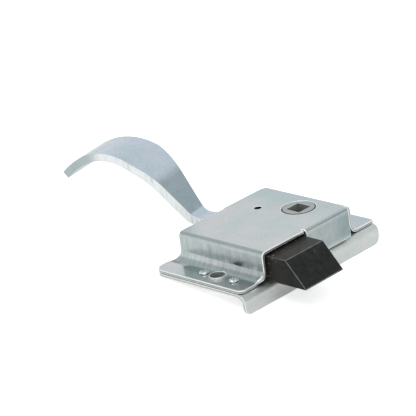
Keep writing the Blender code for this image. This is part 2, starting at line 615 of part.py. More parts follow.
def make_spring(name, group, x):
    """Compression spring at its length with the bolt out, its end coils closed."""
    front = SPRING_BORE_END_Y + SEAT + SPRING_WIRE
    rear = STOP_INSIDE_Y - SEAT - SPRING_WIRE
    closed = 2.3 * SPRING_WIRE
    coil_radius = SPRING_RADIUS - SPRING_WIRE
    per_turn = 10
    open_pitch = (rear - front - 2 * closed) / (SPRING_COILS - 2)
    curve = bpy.data.curves.new(name, "CURVE")
    curve.dimensions = "3D"
    curve.bevel_depth = SPRING_WIRE
    curve.bevel_resolution = 2
    curve.use_fill_caps = True
    spline = curve.splines.new("POLY")
    count = SPRING_COILS * per_turn + 1
    spline.points.add(count - 1)
    for index, point in enumerate(spline.points):
        turns = index / per_turn
        first = min(turns, 1.0) * closed
        middle = max(0.0, min(turns, SPRING_COILS - 1.0) - 1.0) * open_pitch
        last = max(0.0, turns - (SPRING_COILS - 1.0)) * closed
        angle = 2 * math.pi * turns
        point.co = (coil_radius * math.cos(angle), front + first + middle + last,
                    coil_radius * math.sin(angle), 1.0)
    spring = mesh_object(name, curve, group)
    spring.location = (x, 0.0, SPRING_Z)
    return spring


def make_spring_guide(name, group, x):
    """Pin inside a spring, with a stud riveted through the spring stop."""
    back = STOP_FACE_Y + SEAT
    tail = back + GUIDE_HEAD_HEIGHT
    shoulder = STOP_INSIDE_Y - SEAT
    nose = GUIDE_FRONT_Y + GUIDE_RADIUS / 2
    profile = [(0.0, tail), (GUIDE_RADIUS, tail), (GUIDE_RADIUS, back), (GUIDE_STUD, back),
               (GUIDE_STUD, shoulder), (GUIDE_RADIUS, shoulder), (GUIDE_RADIUS, nose),
               (GUIDE_RADIUS / 2, GUIDE_FRONT_Y), (0.0, GUIDE_FRONT_Y)]
    return turned(name, profile, group, (x, 0.0, SPRING_Z), axis="Y", steps=20)


def make_spindle_hub(group, cutters):
    """Turned hub with a square hole, a collar under the cover and flats that drive the arm."""
    collar_top = COVER_INSIDE_Z - SEAT
    profile = [(0.0, COVER_TOP_Z), (HUB_BOSS, COVER_TOP_Z), (HUB_BOSS, collar_top), (HUB_COLLAR, collar_top),
               (HUB_COLLAR, COLLAR_BOTTOM_Z), (HUB_JOURNAL, COLLAR_BOTTOM_Z), (HUB_JOURNAL, HUB_BOTTOM_Z),
               (0.0, HUB_BOTTOM_Z)]
    hub = turned("spindle_hub", profile, group, (HUB_X, HUB_Y, 0.0), steps=48)
    reach = HUB_COLLAR
    square = prism("hub_square", rectangle(-SQUARE_HALF, -SQUARE_HALF, SQUARE_HALF, SQUARE_HALF),
                   -reach, COVER_TOP_Z + reach, PLANE_XY, cutters, (HUB_X, HUB_Y, 0.0))
    combine(hub, square, "DIFFERENCE")
    for side in (-1, 1):
        low, high = sorted((side * HUB_FLAT, side * (HUB_FLAT + reach)))
        flat = prism("hub_flat", rectangle(-reach, low, reach, high), -reach, COLLAR_BOTTOM_Z,
                     PLANE_XY, cutters, (HUB_X, HUB_Y, 0.0))
        combine(hub, flat, "DIFFERENCE")
    return hub


def make_hub_arm(group, cutters):
    """Stamped arm on the hub's flats: two round ends joined by their common tangents."""
    reach = ARM_RADIUS
    lean = math.acos((ARM_HUB_END - ARM_END) / ARM_RADIUS)
    heading = math.pi + ARM_SWING
    hub_end = arc_points((0.0, 0.0), ARM_HUB_END, heading + lean, heading + 2 * math.pi - lean, 30)
    far = (ARM_RADIUS * math.cos(heading), ARM_RADIUS * math.sin(heading))
    pin_end = arc_points(far, ARM_END, heading - lean, heading + lean, 12)
    arm = prism("hub_arm", hub_end + pin_end, ARM_BOTTOM_Z, ARM_TOP_Z, PLANE_XY, group, (HUB_X, HUB_Y, 0.0))
    bore = cylinder("arm_bore", HUB_JOURNAL + HOLE_PLAY, -reach, reach, cutters, (0.0, 0.0, 0.0))
    bore.location = (HUB_X, HUB_Y, 0.0)
    half = HUB_FLAT + HOLE_PLAY
    flats = prism("arm_bore_flats", rectangle(-reach, -half, reach, half), -2 * reach, 2 * reach,
                  PLANE_XY, cutters, (HUB_X, HUB_Y, 0.0))
    combine(bore, flats, "INTERSECT")
    combine(arm, bore, "DIFFERENCE")
    stud_hole = cylinder("arm_stud_hole", ARM_PIN_STUD + HOLE_PLAY, -reach, reach, cutters,
                         (ARM_PIN_X, ARM_PIN_Y, 0.0), steps=20)
    combine(arm, stud_hole, "DIFFERENCE")
    return arm


def make_arm_pin(group):
    """Drive pin that stands on the arm and works in the bolt's slot."""
    top = CHANNEL_FLOOR_Z - ARM_PIN_TOP_GAP
    shoulder = ARM_TOP_Z + SEAT
    profile = [(0.0, top), (ARM_PIN, top), (ARM_PIN, shoulder), (ARM_PIN_STUD, shoulder),
               (ARM_PIN_STUD, ARM_BOTTOM_Z), (0.0, ARM_BOTTOM_Z)]
    return turned("arm_pin", profile, group, (ARM_PIN_X, ARM_PIN_Y, 0.0), steps=24)


def make_hub_washer(group):
    """Thin washer between the base plate and the arm."""
    inner = HUB_JOURNAL + HOLE_PLAY
    top = WASHER_BOTTOM_Z + WASHER_THICKNESS
    profile = [(inner, top), (WASHER_RADIUS, top), (WASHER_RADIUS, WASHER_BOTTOM_Z),
               (inner, WASHER_BOTTOM_Z), (inner, top)]
    return turned("hub_washer", profile, group, (HUB_X, HUB_Y, 0.0), steps=32)


def give(part, material):
    """Set a piece's material and shade its round faces smooth."""
    part.data.materials.clear()
    part.data.materials.append(material)
    if part.type == "MESH":
        part.data.shade_smooth()
        part.data.set_sharp_from_angle(angle=math.radians(30))


def build():
    parts, cutters = start_scene()
    zinc = make_material("zinc_plate", (0.56, 0.60, 0.61), 0.32, 1.0)
    zinc_bright = make_material("zinc_bright", (0.66, 0.69, 0.70), 0.28, 1.0)
    steel = make_material("plain_steel", (0.45, 0.46, 0.47), 0.4, 1.0)
    nylon = make_material("black_nylon", (0.02, 0.02, 0.022), 0.5, 0.0)

    give(make_cover(parts, cutters), zinc)
    give(make_base_plate(parts, cutters), zinc)
    give(make_latch_bolt(parts, cutters), nylon)
    give(make_pull_handle(parts, cutters), zinc_bright)
    for name, rivet_y in (("front", HANDLE_RIVET_FRONT_Y), ("rear", HANDLE_RIVET_REAR_Y)):
        give(make_handle_rivet("handle_rivet_" + name, parts, rivet_y), steel)
    for name, x in (("left", SPRING_LEFT_X), ("right", SPRING_RIGHT_X)):
        give(make_spring("bolt_spring_" + name, parts, x), steel)
        give(make_spring_guide("spring_guide_" + name, parts, x), steel)
    for side_name, side in (("left", -1), ("right", 1)):
        for end_name, way in (("front", -1), ("rear", 1)):
            rivet = make_cover_rivet("cover_rivet_" + side_name + "_" + end_name, parts,
                                     side * FIXING_X, RIVET_MIDDLE_Y + way * RIVET_PITCH)
            give(rivet, zinc_bright)
    give(make_spindle_hub(parts, cutters), zinc)
    give(make_hub_arm(parts, cutters), zinc)
    give(make_arm_pin(parts), steel)
    give(make_hub_washer(parts), steel)


build()
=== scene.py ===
"""Slam latch, dressed for its picture: zinc plated steel case, black nylon bolt, bent pull handle."""
import math

import bmesh
import bpy
from mathutils import Matrix, Vector
from mathutils.bvhtree import BVHTree


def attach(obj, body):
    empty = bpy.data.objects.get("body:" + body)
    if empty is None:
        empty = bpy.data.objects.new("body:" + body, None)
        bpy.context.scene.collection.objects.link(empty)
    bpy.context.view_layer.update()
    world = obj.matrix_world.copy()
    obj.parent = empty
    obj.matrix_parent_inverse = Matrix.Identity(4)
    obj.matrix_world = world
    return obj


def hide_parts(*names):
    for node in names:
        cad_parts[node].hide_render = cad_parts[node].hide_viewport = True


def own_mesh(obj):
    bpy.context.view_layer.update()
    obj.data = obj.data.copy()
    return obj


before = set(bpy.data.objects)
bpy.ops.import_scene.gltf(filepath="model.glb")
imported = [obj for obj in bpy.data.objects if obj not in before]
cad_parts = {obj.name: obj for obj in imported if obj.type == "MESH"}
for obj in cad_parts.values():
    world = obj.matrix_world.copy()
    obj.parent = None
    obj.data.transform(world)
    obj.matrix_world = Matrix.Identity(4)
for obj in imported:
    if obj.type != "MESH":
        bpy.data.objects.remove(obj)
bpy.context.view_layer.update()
mm = 0.001

# Base plate
# Flat mild steel, 1.5 mm thick, blanked and folded: a lip goes down along the whole front, and a
# stop for the springs stands up at the back. It is zinc plated after pressing.
plate_thickness = 1.5 * mm
plate_half_length = 43.9 * mm
plate_back = 30.2 * mm
lip_half_length = 44.7 * mm
lip_face = -25.6 * mm
lip_bottom = -7.7 * mm
lip_bend = 3.5 * mm
flange_top = 3.3 * mm
fixing_x = 36.8 * mm
fixing_y = -2.4 * mm
rivet_rows = (-12.3 * mm, 5.7 * mm)
hub_x = 15.7 * mm
hub_y = -5.2 * mm
spring_places = (-21.6 * mm, -13.4 * mm)
spring_level = 6.9 * mm
stud_hole_radius = 1.5 * mm
rivet_hole_radius = 1.8 * mm
hole_finish = 3
from_above = Matrix.Identity(3)
from_front = Matrix(((1, 0, 0), (0, 0, -1), (0, 1, 0)))
from_side = Matrix(((0, 0, 1), (1, 0, 0), (0, 1, 0)))


def add_object(name, data):
    """A new object with its data, in the scene."""
    piece = bpy.data.objects.new(name, data)
    bpy.context.scene.collection.objects.link(piece)
    return piece


def finish_shape(name, shape):
    """Turn the drawn faces outward and make an object of them."""
    bmesh.ops.recalc_face_normals(shape, faces=shape.faces)
    mesh = bpy.data.meshes.new(name)
    shape.to_mesh(mesh)
    shape.free()
    return add_object(name, mesh)


def round_corners(corners, closed=True, steps=10):
    """Points of an outline whose corners (u, v, radius) are rounded."""
    points = []
    for index, (u, v, radius) in enumerate(corners):
        if radius <= 0 or (not closed and index in (0, len(corners) - 1)):
            points.append((u, v))
            continue
        here = Vector((u, v))
        before = (Vector(corners[index - 1][:2]) - here).normalized()
        after = (Vector(corners[(index + 1) % len(corners)][:2]) - here).normalized()
        half = math.acos(max(-1.0, min(1.0, before.dot(after)))) / 2
        centre = here + (before + after).normalized() * (radius / math.sin(half))
        first = here + before * (radius / math.tan(half)) - centre
        turn = (math.pi - 2 * half) * (1 if before.cross(after) < 0 else -1)
        points += [tuple(centre + Matrix.Rotation(turn * step / steps, 2) @ first)
                   for step in range(steps + 1)]
    return points


def folded_section(path, thickness):
    """Section of a folded sheet: path is its left face as (u, v, outside radius of the bend)."""
    corners = [Vector(point[:2]) for point in path]
    face = []
    back = []
    for index, (u, v, radius) in enumerate(path):
        ahead = (corners[min(index + 1, len(path) - 1)] - corners[min(index, len(path) - 2)]).normalized()
        behind = (corners[max(index, 1)] - corners[max(index - 1, 0)]).normalized()
        mitre = (Vector((behind.y, -behind.x)) + Vector((ahead.y, -ahead.x))).normalized()
        outside, inside = radius, radius - thickness
        if behind.cross(ahead) >= 0:
            outside, inside = inside, outside
        other = Vector((u, v)) + mitre * (thickness / mitre.dot(Vector((ahead.y, -ahead.x))))
        face.append((u, v, outside))
        back.append((other.x, other.y, inside))
    return round_corners(face, closed=False) + round_corners(back, closed=False)[::-1]


def draw_solid(name, outline, low, high, plane, origin=(0.0, 0.0, 0.0)):
    """An outline in a plane, pulled from low to high."""
    shape = bmesh.new()
    ends = [[shape.verts.new(plane @ Vector((u, v, level))) for u, v in outline] for level in (low, high)]
    shape.faces.new(ends[0][::-1])
    shape.faces.new(ends[1])
    for index in range(len(outline)):
        after = (index + 1) % len(outline)
        shape.faces.new((ends[0][index], ends[0][after], ends[1][after], ends[1][index]))
    bmesh.ops.translate(shape, verts=shape.verts, vec=Vector(origin))
    bmesh.ops.remove_doubles(shape, verts=shape.verts, dist=1e-7)
    return finish_shape(name, shape)


def turn_solid(name, profile, origin, axis="Z", steps=64):
    """A round piece from (radius, height) points, whose first and last lie on the axis or meet."""
    shape = bmesh.new()
    rings = []
    for radius, height in profile:
        if radius == 0:
            rings.append([shape.verts.new((0.0, 0.0, height))])
            continue
        angles = [2 * math.pi * step / steps for step in range(steps)]
        rings.append([shape.verts.new((radius * math.cos(angle), radius * math.sin(angle), height))
                      for angle in angles])
    for upper, lower in zip(rings, rings[1:]):
        for step in range(steps):
            after = (step + 1) % steps
            corners = [upper[step % len(upper)], lower[step % len(lower)],
                       lower[after % len(lower)], upper[after % len(upper)]]
            shape.faces.new(list(dict.fromkeys(corners)))
    if axis == "Y":
        bmesh.ops.rotate(shape, verts=shape.verts, matrix=Matrix.Rotation(math.radians(-90), 3, "X"))
    bmesh.ops.translate(shape, verts=shape.verts, vec=Vector(origin))
    return finish_shape(name, shape)


def settled_mesh(piece):
    """The piece's mesh with its modifiers or its curve made part of it."""
    bpy.context.view_layer.update()
    return bpy.data.meshes.new_from_object(piece.evaluated_get(bpy.context.evaluated_depsgraph_get()))


def settle_shape(piece):
    """Make the piece's modifiers part of its mesh."""
    mesh = settled_mesh(piece)
    piece.modifiers.clear()
    piece.data = mesh


def machine(piece, tool, operation="DIFFERENCE"):
    """Cut or join a tool shape into the piece, and take the tool away."""
    boolean = piece.modifiers.new("machine", "BOOLEAN")
    boolean.operation = operation
    boolean.solver = "EXACT"
    boolean.object = tool
    settle_shape(piece)
    bpy.data.objects.remove(tool)


def drill(piece, x, y, radius):
    """Drill right through the piece at a place on its plan."""
    reach = 40 * mm
    profile = [(0.0, reach), (radius, reach), (radius, -reach), (0.0, -reach)]
    machine(piece, turn_solid("drill", profile, (x, y, 0.0)))


def round_edges(piece, width, segments, edge_slot, sharpest, clamp=True):
    """Bevel the edges sharper than an angle, with the bevel in its own finish."""
    bevel = piece.modifiers.new("edges", "BEVEL")
    bevel.width = width
    bevel.segments = segments
    bevel.limit_method = "ANGLE"
    bevel.angle_limit = math.radians(sharpest)
    bevel.material = edge_slot
    bevel.use_clamp_overlap = clamp
    settle_shape(piece)


def shade_flat_faces(piece, sharpest):
    """Smooth shading that still leaves the flat faces flat."""
    piece.data.shade_smooth()
    piece.data.set_sharp_from_angle(angle=math.radians(sharpest))
    weighted = piece.modifiers.new("shading", "WEIGHTED_NORMAL")
    weighted.weight = 100
    weighted.keep_sharp = True


def break_edges(piece, width, segments=3, edge_slot=-1, sharpest=35, clamp=True, through=()):
    """Round the sharp edges a little and shade the flat faces flat. Faces stay split at each x in
    through, so that none of them runs all the way round a hole."""
    shape = bmesh.new()
    shape.from_mesh(piece.data)
    bmesh.ops.remove_doubles(shape, verts=shape.verts, dist=0.03 * mm)
    bmesh.ops.dissolve_degenerate(shape, edges=shape.edges, dist=0.02 * mm)
    for x in through:
        split = bmesh.ops.bisect_plane(shape, geom=shape.verts[:] + shape.edges[:] + shape.faces[:],
                                       dist=0.01 * mm, plane_co=(x, 0.0, 0.0), plane_no=(1.0, 0.0, 0.0))
        for part in split["geom_cut"]:
            if isinstance(part, bmesh.types.BMEdge):
                part.seam = True
    bmesh.ops.dissolve_limit(shape, angle_limit=math.radians(1), verts=shape.verts, edges=shape.edges,
                             delimit={"MATERIAL", "SEAM"})
    shape.to_mesh(piece.data)
    shape.free()
    round_edges(piece, width, segments, edge_slot, sharpest, clamp)
    shade_flat_faces(piece, 60)


def coat(piece, *finishes):
    """Give the piece its finishes, all of it in the first."""
    piece.data.materials.clear()
    for finish in finishes:
        piece.data.materials.append(finish)


def mark_cut_edges(piece, thickness):
    """Faces that aren't one of the sheet's two broad faces take the second material."""
    mesh = piece.data
    tree = BVHTree.FromPolygons([v.co for v in mesh.vertices], [p.vertices[:] for p in mesh.polygons])
    mesh.calc_loop_triangles()
    widest = {}
    for triangle in mesh.loop_triangles:
        if triangle.area > widest.get(triangle.polygon_index, (0.0, None))[0]:
            widest[triangle.polygon_index] = (triangle.area, triangle.center.copy())
    for face in mesh.polygons:
        start = widest.get(face.index, (0.0, face.center))[1]
        hit = tree.ray_cast(start - face.normal * 0.02 * mm, -face.normal)
        face.material_index = 0 if hit[3] is not None and hit[3] < 1.25 * thickness else 1


def add_node(tree, kind, **settings):
    """A node with its sockets and settings filled in."""
    node = tree.nodes.new(kind)
    for key, value in settings.items():
        if key in node.inputs:
            node.inputs[key].default_value = value
        else:
            setattr(node, key, value)
    return node


def noise(tree, place, scale, detail, roughness):
    """Clouds from 0 to 1."""
    node = add_node(tree, "ShaderNodeTexNoise", Scale=scale, Detail=detail, Roughness=roughness)
    tree.links.new(place, node.inputs["Vector"])
    return node.outputs["Fac"]


def stretch(tree, place, scale, rotation=(0.0, 0.0, 0.0)):
    """A place turned and scaled, which draws clouds out into streaks."""
    node = add_node(tree, "ShaderNodeMapping")
    node.inputs["Rotation"].default_value = rotation
    node.inputs["Scale"].default_value = scale
    tree.links.new(place, node.inputs["Vector"])
    return node.outputs["Vector"]


def remap(tree, value, low, high, to_low=0.0, to_high=1.0, interpolation="LINEAR"):
    """A value mapped from one range to another, and held at both ends."""
    node = add_node(tree, "ShaderNodeMapRange", interpolation_type=interpolation)
    for key, level in (("From Min", low), ("From Max", high), ("To Min", to_low), ("To Max", to_high)):
        node.inputs[key].default_value = level
    tree.links.new(value, node.inputs["Value"])
    return node.outputs["Result"]


def two_tones(tree, value, low, dark, high, light):
    """A colour that goes from one tone at a low value to another at a high one."""
    node = add_node(tree, "ShaderNodeValToRGB")
    for element, position, colour in zip(node.color_ramp.elements, (low, high), (dark, light)):
        element.position = position
        element.color = (*colour, 1)
    tree.links.new(value, node.inputs["Fac"])
    return node.outputs["Color"]


def roughen(tree, shader, height, strength, distance):
    """Small bumps in the sheen."""
    node = add_node(tree, "ShaderNodeBump", Strength=strength, Distance=distance)
    tree.links.new(height, node.inputs["Height"])
    tree.links.new(node.outputs["Normal"], shader.inputs["Normal"])


def blend_colours(tree, blend_type, amount, under, over):
    """One colour laid over another: each is a colour or an output, and so is the amount."""
    node = tree.nodes.new("ShaderNodeMix")
    node.data_type = "RGBA"
    node.blend_type = blend_type
    for socket, value in ((node.inputs[0], amount), (node.inputs[6], under), (node.inputs[7], over)):
        if isinstance(value, bpy.types.NodeSocket):
            tree.links.new(value, socket)
        else:
            socket.default_value = value
    return node.outputs[2]


def zinc_plate(name, colour, streak=(1.0, 1.0, 1.0), roughness=0.2, depth=0.02, mottle=0.1):
    """Bright zinc plate: a metal clouded from teal to lilac, finely streaked and a little uneven."""
    material = bpy.data.materials.new(name)
    material.use_nodes = True
    tree = material.node_tree
    shader = tree.nodes["Principled BSDF"]
    shader.inputs["Metallic"].default_value = 1.0
    place = add_node(tree, "ShaderNodeTexCoord").outputs["Object"]

    teal, lilac = [[c * (1 + mottle * shift) for c, shift in zip(colour, tint)]
                   for tint in ((-0.9, -0.35, -0.4), (0.8, 0.15, 0.6))]
    tones = two_tones(tree, noise(tree, place, 70.0, 3.0, 0.6), 0.3, teal, 0.7, lilac)
    grain = remap(tree, noise(tree, place, 900.0, 4.0, 0.7), 0.35, 0.65, 0.94, 1.04)
    tree.links.new(blend_colours(tree, "MULTIPLY", 1.0, tones, grain), shader.inputs["Base Color"])

    draws = noise(tree, stretch(tree, place, streak), 160.0, 4.0, 0.6)
    matt = remap(tree, draws, 0.3, 0.7, roughness * 0.8, roughness * 1.3)
    tree.links.new(matt, shader.inputs["Roughness"])
    roughen(tree, shader, draws, 0.5, depth * mm)
    return material


def sheared_edge(name, colour, roughness=0.3):
    """An edge finish in the colour given, with fine marks from the shear. The near-white ones are partly
    painted highlight along rounded edges.
    """
    return zinc_plate(name, colour, (1.0, 1.0, 1.0), roughness, 0.03, 0.04)


def bore_grease_and_shade(name, shade=0.012):
    """Old grease, and painted shade, on the wall of a small hole."""
    material = bpy.data.materials.new(name)
    material.use_nodes = True
    shader = material.node_tree.nodes["Principled BSDF"]
    shader.inputs["Base Color"].default_value = (shade, 1.05 * shade, shade, 1)
    shader.inputs["Roughness"].default_value = 0.55
    shader.inputs["Specular IOR Level"].default_value = 0.25
    lumps = add_node(material.node_tree, "ShaderNodeTexNoise", Scale=900.0, Detail=3.0)
    roughen(material.node_tree, shader, lumps.outputs["Fac"], 0.4, 0.05 * mm)
    return material


def mark_bore(piece, x, y, radius, slot):
    """The walls of a hole take the finish in a slot."""
    for face in piece.data.polygons:
        if math.hypot(face.center.x - x, face.center.y - y) < radius and abs(face.normal.z) < 0.5:
            face.material_index = slot


plate_zinc = zinc_plate("plate_zinc", (0.68, 0.705, 0.68), (0.25, 3.0, 3.0), 0.46, mottle=0.07)
plate_cut = sheared_edge("plate_cut", (0.62, 0.59, 0.57), 0.45)
# Painted highlight: the plate's rounded edges take a near-white finish, lighter than its plated faces.
plate_edge_highlight = sheared_edge("plate_edge_highlight", (0.92, 0.92, 0.91), 0.45)
plate_bores = bore_grease_and_shade("plate_bores", 0.16)

section = folded_section([(lip_face, lip_bottom, 0.0), (lip_face, plate_thickness, lip_bend),
                          (plate_back, plate_thickness, 0.0)], plate_thickness)
base_plate = draw_solid("plate_with_lip", section, -lip_half_length, lip_half_length, from_side)
beyond = 7 * mm
lip_root = lip_face + lip_bend
plate_side = [(lip_half_length, lip_face - beyond, 0.0), (lip_half_length, lip_root, 1.2 * mm),
              (plate_half_length, lip_root + 1.2 * mm, 1.2 * mm), (plate_half_length, plate_back, 5 * mm)]
plate_plan = round_corners(plate_side + [(-x, y, radius) for x, y, radius in plate_side[::-1]])
machine(base_plate, draw_solid("blank", plate_plan, -20 * mm, 20 * mm, from_above), "INTERSECT")
lip_front = round_corners([(-lip_half_length, lip_bottom, 4 * mm), (lip_half_length, lip_bottom, 4 * mm),
                           (lip_half_length, 16 * mm, 0.0), (-lip_half_length, 16 * mm, 0.0)])
machine(base_plate, draw_solid("lip_blank", lip_front, -40 * mm, 40 * mm, from_front), "INTERSECT")
stop_left = -27.0 * mm
stop_right = -10.5 * mm
stop_face = 25.85 * mm
stop_bend = 2.2 * mm
notch = round_corners([(stop_left - 1.2 * mm, stop_face - stop_bend, 0.3 * mm),
                       (stop_right + 1.2 * mm, stop_face - stop_bend, 0.3 * mm),
                       (stop_right + 1.2 * mm, plate_back + beyond, 0.0),
                       (stop_left - 1.2 * mm, plate_back + beyond, 0.0)])
machine(base_plate, draw_solid("notch", notch, -beyond, beyond, from_above))
stop_path = [(stop_face, 12.5 * mm, 0.0), (stop_face, 0.0, stop_bend),
             (stop_face - stop_bend - 3 * mm, 0.0, 0.0)]
machine(base_plate, draw_solid("stop", folded_section(stop_path, plate_thickness), stop_left, stop_right,
                               from_side), "UNION")
stud_hole = [(0.0, 30 * mm), (stud_hole_radius, 30 * mm), (stud_hole_radius, 22 * mm), (0.0, 22 * mm)]
for stud_x in spring_places:
    machine(base_plate, turn_solid("stud_hole", stud_hole, (stud_x, 0.0, spring_level), "Y", 32))
rim_top = flange_top + 1.0 * mm
rim_radius = 3.7 * mm
mouth_radius = 3.3 * mm
fixing_radius = 2.9 * mm
for side in (-1, 1):
    collar = [(0.0, rim_top), (rim_radius, rim_top), (rim_radius, rim_top - 0.2 * mm),
              (rim_radius, 0.75 * mm), (0.0, 0.75 * mm)]
    machine(base_plate, turn_solid("collar", collar, (side * fixing_x, fixing_y, 0.0)), "UNION")
    mouth = [(0.0, rim_top + 1 * mm), (mouth_radius, rim_top + 1 * mm),
             (mouth_radius, rim_top - 0.3 * mm), (fixing_radius, rim_top - 1.2 * mm),
             (fixing_radius, -1 * mm), (0.0, -1 * mm)]
    machine(base_plate, turn_solid("mouth", mouth, (side * fixing_x, fixing_y, 0.0)))
    for row in rivet_rows:
        drill(base_plate, side * fixing_x, row, rivet_hole_radius)
drill(base_plate, hub_x, hub_y, 6.9 * mm)
coat(base_plate, plate_zinc, plate_cut, plate_edge_highlight, plate_bores)
mark_cut_edges(base_plate, plate_thickness)
break_edges(base_plate, 0.3 * mm, 3, 2, 50, clamp=False,
            through=(-fixing_x, *spring_places, hub_x, fixing_x))
# The fixing bores take the grease finish, partly painted shade inside the holes.
for side in (-1, 1):
    mark_bore(base_plate, side * fixing_x, fixing_y, 3.32 * mm, hole_finish)
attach(base_plate, "case")
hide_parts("base_plate")

# Spring gear and hub drive
# Hidden in the case: two guide pins riveted to the stop, the stamped arm on the hub with its drive
# pin, and a thin washer. They keep the solids' shapes and get their own finish.
wire_steel = zinc_plate("wire_steel", (0.42, 0.43, 0.44), (1.0, 1.0, 1.0), 0.3, 0.01)
arm_zinc = zinc_plate("arm_zinc", (0.56, 0.60, 0.61), (1.0, 1.0, 1.0), 0.28)
for hidden in ("spring_guide_left", "spring_guide_right", "hub_washer", "arm_pin",
               "handle_rivet_front", "handle_rivet_rear"):
    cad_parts[hidden].material_slots[0].material = wire_steel
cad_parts["hub_arm"].material_slots[0].material = arm_zinc

# Bolt springs
# Two steel springs push the bolt out. Each sits over its guide pin, between the stop and the end of
# its bore in the bolt.
spring_front = -19.7 * mm
spring_rear = 24.05 * mm
spring_wire = 0.45 * mm
spring_coil = 2.75 * mm
coil_count = 12
points_per_coil = 24


def wind_spring(name, x, z):
    """A compression spring along Y with its end coils closed."""
    closed = 2.3 * spring_wire
    length = spring_rear - spring_front - 2 * spring_wire
    pitch = (length - 2 * closed) / (coil_count - 2)
    curve = bpy.data.curves.new(name, "CURVE")
    curve.dimensions = "3D"
    curve.bevel_depth = spring_wire
    curve.bevel_resolution = 2
    curve.use_fill_caps = True
    spline = curve.splines.new("POLY")
    spline.points.add(coil_count * points_per_coil)
    for index, point in enumerate(spline.points):
        turns = index / points_per_coil
        along = (min(turns, 1.0) + max(0.0, turns - coil_count + 1.0)) * closed
        along += max(0.0, min(turns, coil_count - 1.0) - 1.0) * pitch
        angle = 2 * math.pi * turns
        point.co = (x + spring_coil * math.cos(angle), spring_front + spring_wire + along,
                    z + spring_coil * math.sin(angle), 1.0)
    winding = add_object(name + "_winding", curve)
    mesh = settled_mesh(winding)
    bpy.data.objects.remove(winding)
    return add_object(name, mesh)


for side_name, spring_x in zip(("left", "right"), spring_places):
    spring = wind_spring("coil_spring_" + side_name, spring_x, spring_level)
    coat(spring, wire_steel)
    spring.data.shade_smooth()
    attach(spring, "case")
    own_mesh(spring)
    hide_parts("bolt_spring_" + side_name)

# Latch bolt
# Black nylon, moulded in one with the wing that the arm's pin works in. Its sliding faces are polished
# by use, its edges are worn paler, and it is painted lighter near the case, where the case shades it.
bolt_left = -27.1 * mm
bolt_right = -2.6 * mm
bolt_floor = 1.9 * mm
bolt_top = 13.9 * mm
bolt_tip = -45.7 * mm
bolt_ridge = -35.5 * mm
bolt_rear = 4.5 * mm
shank_middle = -5.4 * mm
shank_width = 8.6 * mm
shank_front = -19.0 * mm
channel_floor = 10.4 * mm
rivet_x = -6.0 * mm
handle_rivet_rows = (-14.0 * mm, 0.0)
channel_play = 0.4 * mm


def times(tree, first, second):
    """The product of two outputs."""
    node = add_node(tree, "ShaderNodeMath", operation="MULTIPLY")
    tree.links.new(first, node.inputs[0])
    tree.links.new(second, node.inputs[1])
    return node.outputs[0]


def black_nylon(name, colour, roughness, scratches):
    """Moulded nylon: nearly black, faintly mottled, with fine scuffs in its sheen."""
    material = bpy.data.materials.new(name)
    material.use_nodes = True
    tree = material.node_tree
    shader = tree.nodes["Principled BSDF"]
    shader.inputs["IOR"].default_value = 1.5
    shader.inputs["Specular IOR Level"].default_value = 0.2
    place = add_node(tree, "ShaderNodeTexCoord").outputs["Object"]
    dust = noise(tree, place, 420.0, 6.0, 0.75)
    tones = two_tones(tree, dust, 0.35, colour, 0.85, [c + scratches for c in colour])

    parts = add_node(tree, "ShaderNodeSeparateXYZ")
    tree.links.new(place, parts.inputs["Vector"])
    # Painted light: the nylon is lightened towards a brownish tone near the case, where the case shades it.
    near_case_painted_light = remap(tree, parts.outputs["Y"], -39 * mm, -26 * mm, interpolation="SMOOTHSTEP")
    painted_light_amount = times(tree, near_case_painted_light, dust)
    painted_light_colour = blend_colours(tree, "MIX", painted_light_amount, tones, (0.045, 0.043, 0.036, 1))
    fleck = remap(tree, noise(tree, place, 650.0, 2.0, 0.5), 0.64, 0.7)
    gathered = remap(tree, parts.outputs["Y"], -31 * mm, -27 * mm)
    flecked = blend_colours(tree, "MIX", times(tree, fleck, gathered), painted_light_colour, (0.24, 0.22, 0.15, 1))
    scored = stretch(tree, place, (1.0, 0.08, 0.3), (0, 0, math.radians(35)))
    scratch = remap(tree, noise(tree, scored, 420.0, 2.0, 0.5), 0.66, 0.74, 0.0, 0.6)
    tree.links.new(blend_colours(tree, "MIX", scratch, flecked, (0.06, 0.06, 0.06, 1)),
                   shader.inputs["Base Color"])

    scuff = noise(tree, place, 150.0, 5.0, 0.7)
    matt = remap(tree, scuff, 0.3, 0.7, roughness * 0.85, roughness * 1.2)
    tree.links.new(matt, shader.inputs["Roughness"])
    roughen(tree, shader, dust, 0.25, 0.02 * mm)
    return material


nylon = black_nylon("nylon", (0.005, 0.005, 0.0052), 0.42, 0.022)
worn_nylon = black_nylon("worn_nylon", (0.07, 0.07, 0.072), 0.3, 0.2)
wedge = [(bolt_tip, bolt_floor), (bolt_rear, bolt_floor), (bolt_rear, bolt_top),
         (bolt_ridge, bolt_top), (bolt_tip, bolt_floor + 0.5 * mm)]
latch_bolt = draw_solid("wedge_bolt", wedge, bolt_left, bolt_right, from_side)
coat(latch_bolt, nylon, worn_nylon)
round_edges(latch_bolt, 0.45 * mm, 4, 1, 40)
for spring_x in spring_places:
    bore = [(0.0, 20 * mm), (3.5 * mm, 20 * mm), (3.5 * mm, -20 * mm), (0.0, -20 * mm)]
    machine(latch_bolt, turn_solid("bore", bore, (spring_x, 0.0, spring_level), "Y", 32))
for rivet_y in handle_rivet_rows:
    foot = [(0.0, 20 * mm), (2.1 * mm, 20 * mm), (2.1 * mm, 3.7 * mm), (3.0 * mm, 3.7 * mm),
            (3.0 * mm, 0.0), (0.0, 0.0)]
    machine(latch_bolt, turn_solid("rivet_bore", foot, (rivet_x, rivet_y, 0.0), steps=32))
wing = [(bolt_right - 0.3 * mm, -24.05 * mm), (6.3 * mm, -24.05 * mm),
        (6.3 * mm, 3.8 * mm), (bolt_right - 0.3 * mm, 3.8 * mm)]
